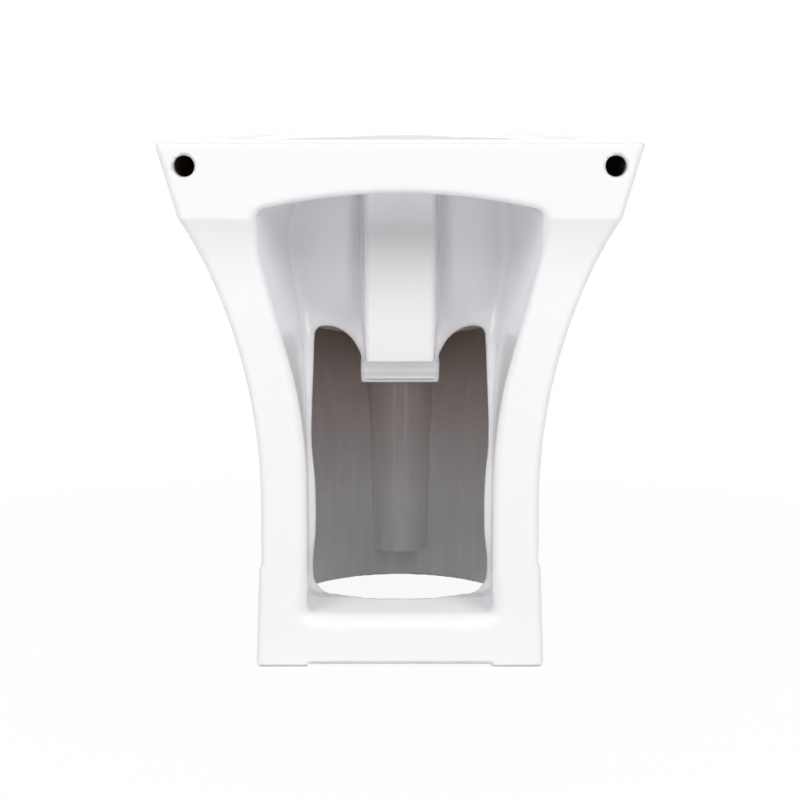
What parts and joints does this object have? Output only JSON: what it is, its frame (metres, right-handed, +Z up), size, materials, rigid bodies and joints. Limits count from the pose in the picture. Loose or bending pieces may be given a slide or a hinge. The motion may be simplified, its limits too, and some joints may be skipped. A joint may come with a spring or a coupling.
{
  "type": "floor-standing bidet",
  "caption": "White glazed floor-standing bidet with an oval basin, tap hole, overflow duct, open rear recess for the pipes and a sprung waste plug that closes when pushed down.",
  "frame": {"origin": "on the floor, below the middle of the bidet's outline", "axes": "+Z up, +Y towards the flat back that faces the wall, so the nose looks along -Y"},
  "size_m": [0.362, 0.55, 0.4],
  "materials": {
    "china": "white gloss glaze over vitreous china",
    "chrome": "polished chrome plate",
    "brass": "turned brass, unplated",
    "rubber": "moulded black rubber",
    "grey_plastic": "moulded grey plastic",
    "white_plastic": "moulded white plastic",
    "spring_steel": "drawn wire",
    "zinc_steel": "zinc-plated steel"
  },
  "bodies": {
    "fixture": {"pedestal_casting": "china", "rim_deck": "china", "bowl_casting": "china", "overflow_duct": "china", "overflow_ring": "chrome", "waste_body": "chrome", "backnut": "brass", "flange_seal": "rubber", "cone_seal": "rubber", "click_cartridge": "grey_plastic", "side_sleeve_right": "grey_plastic", "side_sleeve_left": "grey_plastic", "screw_cap_right": "white_plastic", "screw_cap_left": "white_plastic", "click_spring": "spring_steel", "floor_bracket_right": "zinc_steel", "floor_bracket_left": "zinc_steel", "bracket_nut_right": "zinc_steel", "bracket_nut_left": "zinc_steel", "side_screw_right": "zinc_steel", "side_screw_left": "zinc_steel"},
    "plug": {"plug_cap": "chrome", "plug_seal": "rubber", "plug_stem": "brass"}
  },
  "joints": [
    {"name": "plug_slide", "type": "slide", "parent": "fixture", "child": "plug", "axis": [0, 0, 1], "range_m": [-0.008, 0], "stiffness_N_per_m": 400, "springref_m": 0.012, "deforming": ["click_spring"]}
  ]
}
